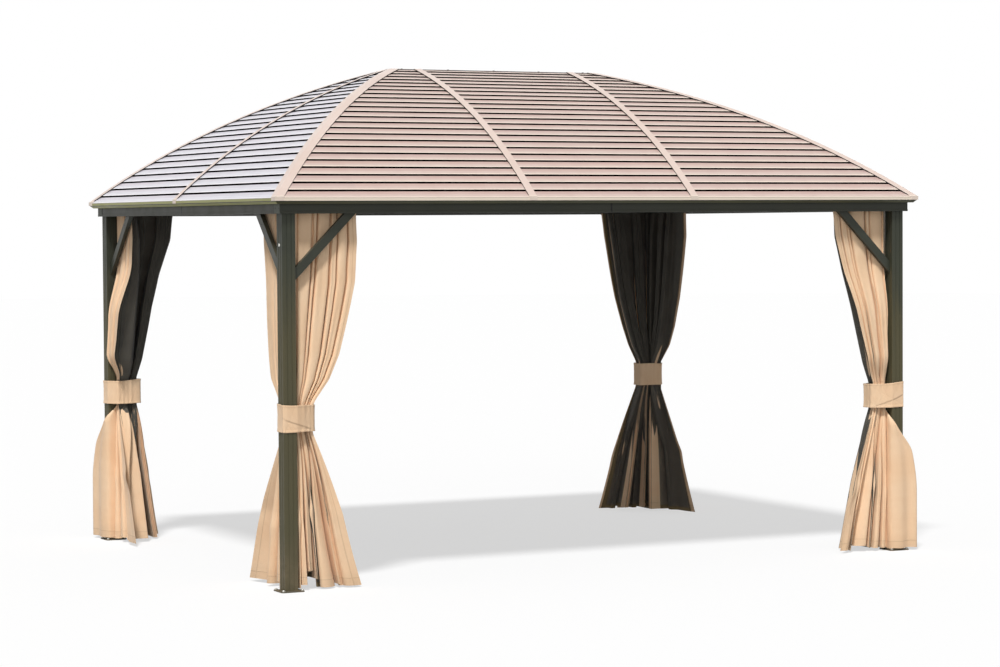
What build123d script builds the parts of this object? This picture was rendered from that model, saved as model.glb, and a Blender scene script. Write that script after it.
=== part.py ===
"""Hardtop garden gazebo, 4 m by 3 m, with a curved hip roof of lapped steel rows and tied curtains.

The gazebo stands on its foot plates at Z = 0, centred on the origin. X runs along the long side,
Y across it, and the front is at -Y. Every roof piece follows one seat line, an arc that rises from
the eave to the ridge. The end faces use the same arc squeezed to their shorter run, so the rows
stay level round the hips and the four faces meet in straight vertical planes.

A distance called inward is measured square to the long side's eave, towards the ridge.
"""
import os
from math import asin, atan2, cos, hypot, radians, sin

from build123d import *

# Roof plan and rise
roof_length = 4000.0
roof_width = 3000.0
ridge_length = 1270.0
eave_rise = 16.0            # underside of the folded eave lip, above the ring beam
seat_rise = 770.0           # eave to ridge along the seat line
roof_bend = radians(26.0)   # how far the sheet turns from eave to ridge

# Roof sheets: lapped rows, each with its lower edge standing clear of the row below
row_count = 25
sheet = 3.0
lap_step = 10.0             # how far each row's flat would stand over the row below
nose_drop = 3.5             # the rolled lower edge comes down this much
nose_share = 0.28           # the share of each row that the rolled edge takes
lip_below_seat = 6.0        # the eave lip hangs this far under the start of the seat line
sheet_gap = 2.0             # from a sheet's cut edge to the middle of its joint
joint_position = 504.0      # the long side's two sheet joints, from the middle

# Covers over the joints, the hips and the ridge
cover_width = 46.0
cover_height = 6.0
cover_hook = 3.0            # the turned-down end over the eave lip
hip_cap_wing = 36.0
hip_cap_height = 5.0
ridge_cap_half = 38.0
ridge_cap = 3.0

# Roof frame
rafter_width = 40.0
rafter_depth = 30.0
rafter_foot = 45.0          # length of the foot that stands on the beam
hip_rafter_wing = 20.0
ridge_beam_width = 40.0
ridge_beam_depth = 60.0

# Ring beam in two lengths a side, with the eave trim on top of it
beam_underside = 1970.0
beam_width = 75.0
beam_height = 50.0
beam_inset = 40.0           # the beam's outer face, in from the edge of the roof
beam_lip_height = 12.0
beam_lip_depth = 2.0
splice_gap = 0.6
end_cap = 3.0               # the plugs in the long beams' outer ends
trim_thickness = 4.0
trim_setback = 1.0          # the trim's outer edge, in from the edge of the roof
trim_slope_run = 18.0
trim_reach = 58.0           # the trim's inner edge, in from the edge of the roof

# Posts and feet
post_size = 75.0
post_inset = 60.0           # the post's outer face, in from the edge of the roof
post_corner = 3.0
groove_width = 5.0
groove_depth = 2.0
groove_pitch = 26.0
plate_size = 130.0
plate_thickness = 6.0
plate_corner = 10.0
bolt_pitch = 104.0
bolt_hole = 11.0

# Knee braces: folded pans, open towards the inside
brace_leg = 355.0
brace_width = 46.0
brace_depth = 25.0
brace_wall = 3.0

# Curtain rail with two tracks, one for the curtain and one for the netting
rail_width = 36.0
rail_height = 20.0
rail_wall = 2.5
rail_slot = 7.0
rail_rise = 6.0             # the rail's underside above the beam's underside

# Curtains, gathered against the inside of each post and held by a fabric band
# Reaches run from the post's inner faces, along the long side (front) and along the end. A fold is
# how far the cloth stands in from the post's inner corner, and a back how far it runs behind it.
curtain_gap = 0.5
brace_clearance = 6.0       # between the curtain and the knee braces behind it
rail_reach_front = 385.0
rail_reach_end = 225.0
rail_fold = 36.0
shoulder_drop = 150.0       # from the rail down to where the cloth starts to narrow
drape_reach_front = 330.0
drape_reach_end = 125.0
drape_fold = 60.0
tie_low = 829.0
tie_high = 980.0
tie_thickness = 2.5
waist_reach_front = 115.0
waist_reach_end = 62.0
waist_fold = 50.0
waist_back = 34.0
skirt_height = 400.0
skirt_reach_front = 269.0
skirt_reach_end = 302.0
skirt_fold = 100.0
skirt_back = 60.0
hem_clearance = 2.0         # between the hem and the foot plate
hem_reach_front = 392.0
hem_reach_end = 470.0
hem_fold = 130.0
hem_back = 70.0

fit_gap = 0.3               # between pieces that lie on each other

half_length = roof_length / 2
half_width = roof_width / 2
end_run = (roof_length - ridge_length) / 2
squeeze = end_run / half_width
beam_top = beam_underside + beam_height
eave_height = beam_top + eave_rise
seat_height = eave_height + lip_below_seat
nose_lift = sheet + lap_step - nose_drop
crest_lift = sheet + lap_step * (1 - nose_share)
cover_lift = max(nose_lift, crest_lift) + fit_gap

eave_pitch = atan2(seat_rise, half_width) + roof_bend / 2
seat_radius = hypot(half_width, seat_rise) / 2 / sin(roof_bend / 2)

post_inner_x = -half_length + post_inset + post_size
post_inner_y = -half_width + post_inset + post_size
post_x = post_inner_x - post_size / 2
post_y = post_inner_y - post_size / 2

corner = (-half_length, -half_width, 0)
front_of_hip = Plane(origin=corner, z_dir=(1, -squeeze, 0))
left_of_hip = Plane(origin=corner, z_dir=(-1, squeeze, 0))
left_of_back_hip = Plane(origin=(-half_length, half_width, 0), z_dir=(-1, -squeeze, 0))
front_of_ridge = Plane(origin=(0, 0, 0), z_dir=(0, -1, 0))

os.makedirs("parts", exist_ok=True)


def save(piece, node):
    """Label a finished piece and write its file."""
    piece.part.label = node
    export_step(piece.part, f"parts/{node}.step")


def save_mirrored(piece, names):
    """Write a piece of the front left corner, and its mirror images at the other corners."""
    for node, planes in names.items():
        with BuildPart() as image:
            add(piece.part)
            for plane in planes:
                mirror(about=plane, mode=Mode.REPLACE)
        save(image, node)


def four_corners(name):
    """The names of a corner piece and its mirror images."""
    return {
        f"{name}_front_left": [],
        f"{name}_front_right": [Plane.YZ],
        f"{name}_back_left": [Plane.XZ],
        f"{name}_back_right": [Plane.YZ, Plane.XZ],
    }


def four_halves(name):
    """The names of a piece that covers half of the left end, and its mirror images."""
    return {
        f"{name}_left_front": [],
        f"{name}_left_back": [Plane.XZ],
        f"{name}_right_front": [Plane.YZ],
        f"{name}_right_back": [Plane.YZ, Plane.XZ],
    }


def front_section(x):
    """Section through the front face at x: inward from the front eave, and up."""
    return Plane(origin=(x, -half_width, 0), x_dir=(0, 1, 0), z_dir=(1, 0, 0))


def left_section(y):
    """Section through the left end at y: inward from the left eave, and up, facing the front."""
    return Plane(origin=(-half_length, y, 0), x_dir=(1, 0, 0), z_dir=(0, -1, 0))


def seat_share(inward):
    """The share of the seat line's length that lies below this distance inward."""
    return (eave_pitch - asin(sin(eave_pitch) - inward / seat_radius)) / roof_bend


def seat_point(share, run, lift=0.0):
    """A point of the seat line on a face with this run, lifted straight up."""
    pitch = eave_pitch - roof_bend * share
    inward = seat_radius * (sin(eave_pitch) - sin(pitch))
    height = seat_radius * (cos(pitch) - cos(eave_pitch))
    return inward * run / half_width, seat_height + height + lift


def seat_line(run, lift, first, last):
    """The seat line between two shares, with a point at each row."""
    rows = [row / row_count for row in range(row_count + 1) if first < row / row_count < last]
    return [seat_point(share, run, lift) for share in (first, *rows, last)]


def row_crest(row, run):
    """Where the rolled lower edge of a row ends and its flat begins."""
    low_x, low_z = seat_point(row / row_count, run)
    high_x, high_z = seat_point((row + 1) / row_count, run)
    return low_x + (high_x - low_x) * nose_share, low_z + (high_z - low_z) * nose_share + crest_lift


def sheet_outline(run):
    """A roof sheet in section: the rows up to the ridge, and their undersides back to the lip."""
    wall = sheet * run / half_width
    upper, under = [(0, eave_height)], []
    for row in range(row_count):
        low_x, low_z = seat_point(row / row_count, run)
        high_x, high_z = seat_point((row + 1) / row_count, run)
        climb = (high_z - low_z) / (high_x - low_x)
        crest_x, crest_z = row_crest(row, run)
        nose_z = low_z + nose_lift
        nose_climb = (crest_z - nose_z) / (crest_x - low_x)
        upper += [(low_x, nose_z), (crest_x, crest_z), (high_x, high_z + sheet)]
        under += [
            (low_x + wall, nose_z + nose_climb * wall - sheet),
            (crest_x, crest_z - sheet),
            (high_x + wall, high_z + climb * wall),
        ]
    under[-1] = (high_x, high_z)
    return upper + under[::-1] + [(wall, eave_height)]


def cover_outline(run, height, last):
    """A cover strip in section: it lies on the rows' noses and hooks over the eave lip."""
    across = run / half_width
    inner_face = -fit_gap * across
    outer_face = inner_face - cover_hook * across
    over = seat_line(run, cover_lift + height, 0, last)
    under = seat_line(run, cover_lift, 0, last)
    hook = [(inner_face, under[0][1]), (inner_face, eave_height), (outer_face, eave_height)]
    return over + under[::-1] + hook + [(outer_face, over[0][1])]


def rafter_outline(run, last):
    """A rafter in section, with the foot that stands on the beam."""
    start = trim_reach / squeeze + fit_gap
    over = seat_line(run, -fit_gap, seat_share(start), last)
    under = seat_line(run, -fit_gap - rafter_depth, seat_share(start + rafter_foot), last)
    foot = [(under[0][0], beam_top), (over[0][0], beam_top)]
    return over + under[::-1] + foot


def roof_piece(section, outline, length, cuts=()):
    """A piece of the roof: its outline drawn out along one face and cut by vertical planes."""
    with BuildPart() as piece:
        with BuildSketch(section):
            with BuildLine():
                Polyline(*outline, close=True)
            make_face()
        extrude(amount=length)
        for cut in cuts:
            split(bisect_by=cut, keep=Keep.TOP)
    return piece


# Foot plates: one square plate under each post, bolted down at its corners
with BuildPart() as foot_plates:
    with BuildSketch():
        with GridLocations(2 * post_x, 2 * post_y, 2, 2):
            plate = Rectangle(plate_size, plate_size)
            chamfer(plate.vertices(), plate_corner)
            with GridLocations(bolt_pitch, bolt_pitch, 2, 2):
                Circle(bolt_hole / 2, mode=Mode.SUBTRACT)
    extrude(amount=plate_thickness)
save(foot_plates, "foot_plates")

# Posts: square extrusions with two grooves down each face
with BuildPart() as post:
    with BuildSketch(Plane.XY.offset(plate_thickness)) as section:
        with Locations((post_x, post_y)):
            Rectangle(post_size, post_size)
        fillet(section.vertices(), post_corner)
        with Locations((post_x, post_y)):
            with PolarLocations(post_size / 2, 4):
                with Locations((0, -groove_pitch / 2), (0, groove_pitch / 2)):
                    Rectangle(2 * groove_depth, groove_width, mode=Mode.SUBTRACT)
    extrude(amount=beam_underside - plate_thickness)
save_mirrored(post, four_corners("post"))

# Ring beam: the long beams run over the corners, and the end beams stand between them
beam_outline = [
    (beam_inset, beam_underside),
    (beam_inset + beam_width, beam_underside),
    (beam_inset + beam_width, beam_top),
    (beam_inset + beam_lip_depth, beam_top),
    (beam_inset + beam_lip_depth, beam_underside + beam_lip_height),
    (beam_inset, beam_underside + beam_lip_height),
]
beam_end = -half_length + beam_inset + end_cap + fit_gap
long_beam = roof_piece(front_section(beam_end), beam_outline, -beam_end - splice_gap / 2)
save_mirrored(long_beam, four_corners("beam"))
end_beam = roof_piece(
    left_section(-splice_gap / 2), beam_outline,
    half_width - beam_inset - beam_width - splice_gap / 2,
)
save_mirrored(end_beam, four_halves("end_beam"))

# Beam end caps: one over each outer end of the long beams
cap = roof_piece(front_section(-half_length + beam_inset), beam_outline, end_cap)
with BuildPart() as beam_end_caps:
    add(cap.part)
    mirror(about=Plane.XZ)
    mirror(about=Plane.YZ)
save(beam_end_caps, "beam_end_caps")

# Knee braces: two at each post, one along the long beam and one along the end beam
brace_inner = brace_leg - brace_width * 2 ** 0.5
brace_outline = [(0, brace_inner), (0, brace_leg), (brace_leg, 0), (brace_inner, 0)]
brace_plane = Plane(
    origin=(post_inner_x, post_y - brace_depth / 2, beam_underside), x_dir=(1, 0, 0), z_dir=(0, 1, 0)
)
with BuildPart() as knee_braces:
    with BuildSketch(brace_plane):
        with BuildLine():
            Polyline(*brace_outline, close=True)
        make_face()
    extrude(amount=brace_depth)
    with BuildSketch(brace_plane.offset(brace_wall)):
        with BuildLine():
            Polyline(*brace_outline, close=True)
        make_face()
        offset(amount=-brace_wall, mode=Mode.REPLACE)
    extrude(amount=brace_depth - brace_wall, mode=Mode.SUBTRACT)
    mirror(about=Plane(origin=(post_x, post_y, 0), z_dir=(1, -1, 0)))
save_mirrored(knee_braces, four_corners("knee_braces"))

# Curtain rails: double tracks along the inner face of the ring beam
rail_inset = beam_inset + beam_width
track_width = (rail_width - 3 * rail_wall) / 2
track_offset = (track_width + rail_wall) / 2


def rail(section, length):
    """One rail, drawn along the inner face of its beam."""
    with BuildPart() as bar:
        with BuildSketch(section):
            with Locations((rail_inset + rail_width / 2, beam_underside + rail_rise + rail_height / 2)):
                Rectangle(rail_width, rail_height)
                with Locations((-track_offset, 0), (track_offset, 0)):
                    Rectangle(track_width, rail_height - 2 * rail_wall, mode=Mode.SUBTRACT)
                    with Locations((0, -rail_height / 2)):
                        Rectangle(rail_slot, 3 * rail_wall, mode=Mode.SUBTRACT)
        extrude(amount=length)
    return bar


long_rail = rail(front_section(-half_length + rail_inset), roof_length - 2 * rail_inset)
end_rail_length = roof_width - 2 * (rail_inset + rail_width + fit_gap)
end_rail = rail(left_section(end_rail_length / 2), end_rail_length)
with BuildPart() as curtain_rails:
    add(long_rail.part)
    mirror(about=Plane.XZ)
    with BuildPart(mode=Mode.PRIVATE) as end_rails:
        add(end_rail.part)
        mirror(about=Plane.YZ)
    add(end_rails.part)
save(curtain_rails, "curtain_rails")

# Eave trim: a folded strip on the ring beam that closes the eave from below, in lengths that meet
# under the sheet joints
trim_outline = [
    (trim_setback, eave_height - fit_gap),
    (trim_slope_run, beam_top),
    (trim_reach, beam_top),
    (trim_reach, beam_top + trim_thickness),
    (trim_slope_run + trim_thickness / 2, beam_top + trim_thickness),
    (trim_setback + 1.5 * trim_thickness, eave_height - fit_gap),
]
mitre = Plane(origin=corner, z_dir=(1, -1, 0)).offset(fit_gap / 2)
trim_corner = roof_piece(
    front_section(-half_length), trim_outline, half_length - joint_position - splice_gap / 2, [mitre]
)
trim_middle = roof_piece(
    front_section(-joint_position + splice_gap / 2), trim_outline, 2 * joint_position - splice_gap
)
with BuildPart() as front_trim:
    add(trim_corner.part)
    mirror(about=Plane.YZ)
    add(trim_middle.part)
save_mirrored(front_trim, {"eave_trim_front": [], "eave_trim_back": [Plane.XZ]})
near_mitre = Plane(origin=corner, z_dir=(-1, 1, 0)).offset(fit_gap / 2)
trim_half = roof_piece(
    left_section(-splice_gap / 2), trim_outline, half_width - splice_gap / 2, [near_mitre]
)
with BuildPart() as left_trim:
    add(trim_half.part)
    mirror(about=Plane.XZ)
save_mirrored(left_trim, {"eave_trim_left": [], "eave_trim_right": [Plane.YZ]})

# Ridge beam: a bar under the top of the sheets, where all the rafters end
beam_end_share = seat_share(half_width - ridge_beam_width / 2)
rafter_end_share = seat_share(half_width - ridge_beam_width / 2 - fit_gap)
ridge_beam_top = seat_point(beam_end_share, half_width)[1] - fit_gap
with BuildPart() as ridge_beam:
    with Locations((0, 0, ridge_beam_top)):
        Box(
            ridge_length + squeeze * ridge_beam_width, ridge_beam_width, ridge_beam_depth,
            align=(Align.CENTER, Align.CENTER, Align.MAX),
        )
save(ridge_beam, "ridge_beam")

# Rafters: one under each sheet joint
side_rafter = roof_piece(
    front_section(-joint_position - rafter_width / 2),
    rafter_outline(half_width, rafter_end_share), rafter_width,
)
end_rafter = roof_piece(
    left_section(rafter_width / 2), rafter_outline(end_run, rafter_end_share), rafter_width,
    [plane.offset(hip_rafter_wing + fit_gap) for plane in (left_of_hip, left_of_back_hip)],
)
with BuildPart() as rafters:
    add(side_rafter.part)
    mirror(about=Plane.XZ)
    add(end_rafter.part)
    mirror(about=Plane.YZ)
save(rafters, "rafters")

# Hip rafters: two wings that meet in the plane of the hip
hip_rafter_front = roof_piece(
    front_section(-half_length), rafter_outline(half_width, rafter_end_share), half_length,
    [front_of_hip, -front_of_hip.offset(hip_rafter_wing)],
)
hip_rafter_left = roof_piece(
    left_section(-fit_gap), rafter_outline(end_run, rafter_end_share), half_width,
    [left_of_hip, -left_of_hip.offset(hip_rafter_wing)],
)
with BuildPart() as hip_rafters:
    add(hip_rafter_front.part)
    add(hip_rafter_left.part)
    mirror(about=Plane.XZ)
    mirror(about=Plane.YZ)
save(hip_rafters, "hip_rafters")

# Roof sheets: three to a long side and two to an end, cut along the hips
ridge_cut = front_of_ridge.offset(sheet_gap)
front_corner_sheet = roof_piece(
    front_section(-half_length), sheet_outline(half_width),
    half_length - joint_position - sheet_gap, [front_of_hip.offset(sheet_gap), ridge_cut],
)
save_mirrored(front_corner_sheet, four_corners("roof_sheet"))
centre_sheet = roof_piece(
    front_section(-joint_position + sheet_gap), sheet_outline(half_width),
    2 * (joint_position - sheet_gap), [ridge_cut],
)
save_mirrored(centre_sheet, {"roof_sheet_front": [], "roof_sheet_back": [Plane.XZ]})
end_sheet = roof_piece(
    left_section(-sheet_gap), sheet_outline(end_run), half_width - sheet_gap,
    [left_of_hip.offset(sheet_gap)],
)
save_mirrored(end_sheet, four_halves("end_sheet"))

# Cover strips: raised strips over the sheet joints
cover_end_share = seat_share(half_width - ridge_cap_half - fit_gap)
side_cover = roof_piece(
    front_section(-joint_position - cover_width / 2),
    cover_outline(half_width, cover_height, cover_end_share), cover_width,
)
end_cover = roof_piece(
    left_section(cover_width / 2), cover_outline(end_run, cover_height, cover_end_share), cover_width,
    [plane.offset(hip_cap_wing + fit_gap) for plane in (left_of_hip, left_of_back_hip)],
)
with BuildPart() as cover_strips:
    add(side_cover.part)
    mirror(about=Plane.XZ)
    add(end_cover.part)
    mirror(about=Plane.YZ)
save(cover_strips, "cover_strips")

# Hip caps: folded caps over the hips, one wing on each face
cap_margin = 2 * cover_hook
hip_cap_front = roof_piece(
    front_section(-half_length - cap_margin),
    cover_outline(half_width, hip_cap_height, cover_end_share), half_length,
    [front_of_hip, -front_of_hip.offset(hip_cap_wing)],
)
hip_cap_left = roof_piece(
    left_section(-fit_gap), cover_outline(end_run, hip_cap_height, cover_end_share),
    half_width + cap_margin, [left_of_hip, -left_of_hip.offset(hip_cap_wing)],
)
with BuildPart() as hip_caps:
    add(hip_cap_front.part)
    add(hip_cap_left.part)
    mirror(about=Plane.XZ)
    mirror(about=Plane.YZ)
save(hip_caps, "hip_caps")

# Ridge cap: a flat hipped cap on the top row, where the sheets of all four faces end
def ridge_cap_outline(run):
    """The cap's slope on one face: it lies on the flat of the top row, up to the ridge."""
    crest_x, crest_z = row_crest(row_count - 1, run)
    ridge_x, ridge_z = seat_point(1, run, sheet)
    edge_x = run * (1 - ridge_cap_half / half_width)
    edge_z = ridge_z - (ridge_z - crest_z) * (ridge_x - edge_x) / (ridge_x - crest_x)
    return [
        (edge_x, edge_z + fit_gap), (edge_x, edge_z + fit_gap + ridge_cap),
        (ridge_x, ridge_z + fit_gap + ridge_cap), (ridge_x, ridge_z + fit_gap),
    ]


cap_front = roof_piece(
    front_section(-half_length), ridge_cap_outline(half_width), half_length, [front_of_hip]
)
cap_end = roof_piece(
    left_section(ridge_cap_half), ridge_cap_outline(end_run), 2 * ridge_cap_half,
    [left_of_hip, left_of_back_hip],
)
with BuildPart() as ridge_cover:
    add(cap_front.part)
    mirror(about=Plane.XZ)
    add(cap_end.part)
    mirror(about=Plane.YZ)
save(ridge_cover, "ridge_cap")


# Curtains: full at the rail, drawn in under the tie, and flared to the hem. Each has one wing along
# the long side and one along the end.
rail_line = beam_underside + rail_rise - fit_gap
brace_foot = beam_underside - brace_leg - post_corner
brace_back = (post_size - brace_depth) / 2 - brace_clearance
levels = [
    rail_line, rail_line - shoulder_drop, brace_foot, tie_high, tie_low, skirt_height,
    plate_thickness + hem_clearance,
]
front_reaches = [
    rail_reach_front, rail_reach_front, drape_reach_front, waist_reach_front, waist_reach_front,
    skirt_reach_front, hem_reach_front,
]
end_reaches = [
    rail_reach_end, rail_reach_end, drape_reach_end, waist_reach_end, waist_reach_end,
    skirt_reach_end, hem_reach_end,
]
folds = [rail_fold, drape_fold, drape_fold, waist_fold, waist_fold, skirt_fold, hem_fold]
backs = [brace_back, brace_back, brace_back, waist_back, waist_back, skirt_back, hem_back]
seen_from_front = Plane(origin=(post_inner_x, post_inner_y, 0), x_dir=(1, 0, 0), z_dir=(0, -1, 0))
seen_from_end = Plane(origin=(post_inner_x, post_inner_y, 0), x_dir=(0, 1, 0), z_dir=(1, 0, 0))


def curtain_wing(face, profile, reaches):
    """One wing of a curtain: its outline seen square on, trimmed to the cloth's depth in profile."""
    with BuildPart() as wing:
        with BuildSketch(face):
            with BuildLine():
                Polyline(
                    *zip(reaches, levels), (curtain_gap, levels[-1]), (curtain_gap, levels[0]),
                    close=True,
                )
            make_face()
        extrude(amount=half_width, both=True)
        with BuildSketch(profile):
            with BuildLine():
                Polyline(
                    *zip(folds, levels), *[(-back, z) for back, z in zip(backs[::-1], levels[::-1])],
                    close=True,
                )
            make_face()
        extrude(amount=half_width, both=True, mode=Mode.INTERSECT)
    return wing


front_wing = curtain_wing(seen_from_front, seen_from_end, front_reaches)
end_wing = curtain_wing(seen_from_end, seen_from_front, end_reaches)
with BuildPart() as curtain:
    add(front_wing.part)
    add(end_wing.part)
save_mirrored(curtain, four_corners("curtain"))


def tie_loop(slack):
    """The plan outline of a band drawn round the post and the waist of its curtain."""
    with BuildSketch(Plane((post_inner_x, post_inner_y, tie_low))) as loop:
        with BuildLine():
            Polyline((0, 0), (0, -post_size), (-post_size, -post_size), (-post_size, 0), close=True)
            Polyline(
                (-waist_back, -waist_back), (waist_reach_front, -waist_back),
                (waist_reach_front, waist_fold), (waist_fold, waist_reach_end),
                (-waist_back, waist_reach_end), close=True,
            )
        make_hull()
        offset(amount=slack, kind=Kind.INTERSECTION, mode=Mode.REPLACE)
    return loop.sketch


# Ties: one fabric band round each post and its curtain
with BuildPart() as tie:
    extrude(tie_loop(fit_gap + tie_thickness), amount=tie_high - tie_low)
    extrude(tie_loop(fit_gap), amount=tie_high - tie_low, mode=Mode.SUBTRACT)
with BuildPart() as curtain_ties:
    add(tie.part)
    mirror(about=Plane.XZ)
    mirror(about=Plane.YZ)
save(curtain_ties, "curtain_ties")
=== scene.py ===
"""Finishes the hardtop gazebo: painted metal frame and roof, gathered curtains, netting and ties."""
import math

import bmesh
import bpy
import numpy as np
from mathutils import Matrix, Vector


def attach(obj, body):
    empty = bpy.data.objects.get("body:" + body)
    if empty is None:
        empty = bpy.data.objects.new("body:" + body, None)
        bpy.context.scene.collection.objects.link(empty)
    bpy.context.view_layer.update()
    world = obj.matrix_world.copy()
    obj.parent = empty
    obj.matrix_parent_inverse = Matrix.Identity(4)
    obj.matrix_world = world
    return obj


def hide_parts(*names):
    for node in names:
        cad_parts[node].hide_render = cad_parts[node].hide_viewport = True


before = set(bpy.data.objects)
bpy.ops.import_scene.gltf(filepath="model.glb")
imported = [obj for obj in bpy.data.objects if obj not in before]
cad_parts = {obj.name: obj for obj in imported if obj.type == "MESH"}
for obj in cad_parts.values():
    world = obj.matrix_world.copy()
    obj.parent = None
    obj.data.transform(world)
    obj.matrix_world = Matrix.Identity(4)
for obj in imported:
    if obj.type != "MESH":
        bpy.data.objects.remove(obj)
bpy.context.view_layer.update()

# View: the gazebo is seen from its front left corner, with the lens almost level with the ring
# beam. The place and the lens were fitted to the straight edges of the posts, beams and eaves.
camera = bpy.data.objects.new("view", bpy.data.cameras.new("view"))
camera.data.lens = 100.8
camera.data.sensor_width = 36.0
camera.data.clip_end = 200.0
camera.location = (-7.4528, -14.9036, 1.9043)
turn_right, tip_up, lean = math.radians(26.705), math.radians(-2.2196), math.radians(-0.3552)
ahead = Vector((
    math.sin(turn_right) * math.cos(tip_up), math.cos(turn_right) * math.cos(tip_up), math.sin(tip_up),
))
level = Vector((math.cos(turn_right), -math.sin(turn_right), 0.0))
above = level.cross(ahead)
camera_right = math.cos(lean) * level + math.sin(lean) * above
camera_up = math.cos(lean) * above - math.sin(lean) * level
camera.matrix_world = Matrix((
    (camera_right.x, camera_up.x, -ahead.x, camera.location.x),
    (camera_right.y, camera_up.y, -ahead.y, camera.location.y),
    (camera_right.z, camera_up.z, -ahead.z, camera.location.z),
    (0.0, 0.0, 0.0, 1.0),
))
bpy.context.scene.collection.objects.link(camera)
bpy.context.scene.camera = camera
bpy.context.scene.view_settings.view_transform = "Standard"


# Studio light: an even white dome, a broad key lamp high on the front left, and a weak, very broad
# fill lamp. Seen directly, in gloss or through glass, the dome is white.
def put(tree, kind, inputs=None, **settings):
    """Add a node to a tree, with its settings, and its inputs as values or as links."""
    made = tree.nodes.new("ShaderNode" + kind)
    for name, value in settings.items():
        setattr(made, name, value)
    for name, value in (inputs or {}).items():
        if isinstance(value, bpy.types.NodeSocket):
            tree.links.new(value, made.inputs[name])
        else:
            made.inputs[name].default_value = value
    return made


def work(tree, operation, *values):
    """The result of a Math node."""
    return put(tree, "Math", dict(enumerate(values)), operation=operation).outputs[0]


def seen_plainly(tree):
    """1 for what is seen directly, in gloss or through glass, and 0 for the light thrown on things."""
    path = put(tree, "LightPath").outputs
    return work(
        tree, "MAXIMUM", path["Is Camera Ray"],
        work(tree, "MAXIMUM", path["Is Glossy Ray"], path["Is Transmission Ray"]),
    )


dome_light = 0.20
lamps = {
    "key_lamp": (0.95, 8.0, (-0.33, -0.42, 0.845)),
    "fill_lamp": (0.15, 40.0, (-0.42, -0.86, 0.28)),
}
world = bpy.data.worlds.new("studio")
world.use_nodes = True
tree = world.node_tree
tree.nodes.clear()
strength = put(tree, "MapRange", {0: seen_plainly(tree), 3: dome_light, 4: 1.0})
dome = put(tree, "Background", {"Color": (1, 1, 1, 1), "Strength": strength.outputs[0]})
put(tree, "OutputWorld", {"Surface": dome.outputs[0]})
bpy.context.scene.world = world

for name, (light, spread_degrees, towards) in lamps.items():
    lamp = bpy.data.objects.new(name, bpy.data.lights.new(name, "SUN"))
    lamp.data.energy = light * math.pi
    lamp.data.angle = math.radians(spread_degrees)
    lamp.rotation_mode = "QUATERNION"
    lamp.rotation_quaternion = Vector(towards).to_track_quat("Z", "Y")
    bpy.context.scene.collection.objects.link(lamp)

# Floor: a plain pale studio floor. Where it is seen it is lifted part way to white, and it keeps
# the gazebo's shadow. It throws less light back up, so that the shade under the eaves stays dark.
floor_radius = 60.0
floor_thrown, floor_shown, floor_lift = 0.42, 0.94, 0.6
floor_mesh = bmesh.new()
bmesh.ops.create_circle(floor_mesh, cap_ends=True, segments=96, radius=floor_radius)
floor_data = bpy.data.meshes.new("floor")
floor_mesh.to_mesh(floor_data)
floor = bpy.data.objects.new("floor", floor_data)
bpy.context.scene.collection.objects.link(floor)
floor_paint = bpy.data.materials.new("floor_paint")
floor_paint.use_nodes = True
tree = floor_paint.node_tree
tree.nodes.clear()
straight = seen_plainly(tree)
pale = put(tree, "MapRange", {0: straight, 3: floor_thrown, 4: floor_shown}).outputs[0]
matt = put(tree, "BsdfDiffuse", {"Color": pale})
lift = put(tree, "Emission", {"Color": (1, 1, 1, 1)})
lifted = work(tree, "MULTIPLY", straight, floor_lift)
seen = put(tree, "MixShader", {0: lifted, 1: matt.outputs[0], 2: lift.outputs[0]})
put(tree, "OutputMaterial", {"Surface": seen.outputs[0]})
floor.data.materials.append(floor_paint)


# Foot plates: drilled steel squares under the posts, powder coated like the frame, each held to
# the ground by four zinc plated bolts with washers. Dust and splashes gather on them.
def group(name, inputs, outputs):
    """A shader node group with these inputs and outputs: its tree, and its two end nodes."""
    tree = bpy.data.node_groups.new(name, "ShaderNodeTree")
    kinds = {"colour": "NodeSocketColor", "value": "NodeSocketFloat", "vector": "NodeSocketVector"}
    for title, kind in inputs.items():
        tree.interface.new_socket(title, in_out="INPUT", socket_type=kinds[kind])
    for title, kind in outputs.items():
        tree.interface.new_socket(title, in_out="OUTPUT", socket_type=kinds[kind])
    return tree, tree.nodes.new("NodeGroupInput"), tree.nodes.new("NodeGroupOutput")


def spread(tree, value, low, high):
    """Stretch the part of a value between low and high to 0 to 1, smoothly."""
    return put(tree, "MapRange", {0: value, 1: low, 2: high}, interpolation_type="SMOOTHSTEP").outputs[0]


def blend(tree, share, first, second):
    """Mix two colours."""
    return put(tree, "Mix", {0: share, 6: first, 7: second}, data_type="RGBA").outputs[2]


def noise(tree, vector, scale, detail=3.0, rough=0.5):
    """Plain noise from 0 to 1."""
    held = {"Vector": vector, "Scale": scale, "Detail": detail, "Roughness": rough}
    return put(tree, "TexNoise", held).outputs["Fac"]


def srgb(red, green, blue):
    """A colour written as it looks on a screen, 0 to 255."""
    parts = [c / 255 for c in (red, green, blue)]
    return (*[c / 12.92 if c <= 0.04045 else ((c + 0.055) / 1.055) ** 2.4 for c in parts], 1.0)


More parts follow.
